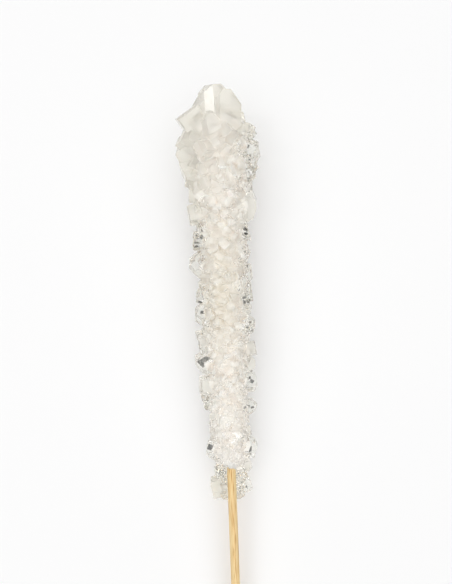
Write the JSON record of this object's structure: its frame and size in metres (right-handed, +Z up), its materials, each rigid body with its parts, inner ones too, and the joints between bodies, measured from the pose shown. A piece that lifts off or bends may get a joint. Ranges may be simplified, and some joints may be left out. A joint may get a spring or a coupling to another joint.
{
  "type": "rock candy stick",
  "caption": "Clear sugar crystals grown along a round wooden stick, thick at the far end, lying down.",
  "frame": {"origin": "on the floor, under the middle of the whole's box", "axes": "+Y from the stick's free end towards the thick end of the candy, +Z up, the shown side up"},
  "size_m": [0.029, 0.213, 0.0254],
  "materials": {
    "wood": "smooth, bare, straight-grained bamboo or birch",
    "sugar": "clear to cloudy colourless sugar, glossy flat crystal faces"
  },
  "bodies": {
    "root": {"stick": "wood", "sugar_crystals": "sugar"}
  },
  "joints": []
}
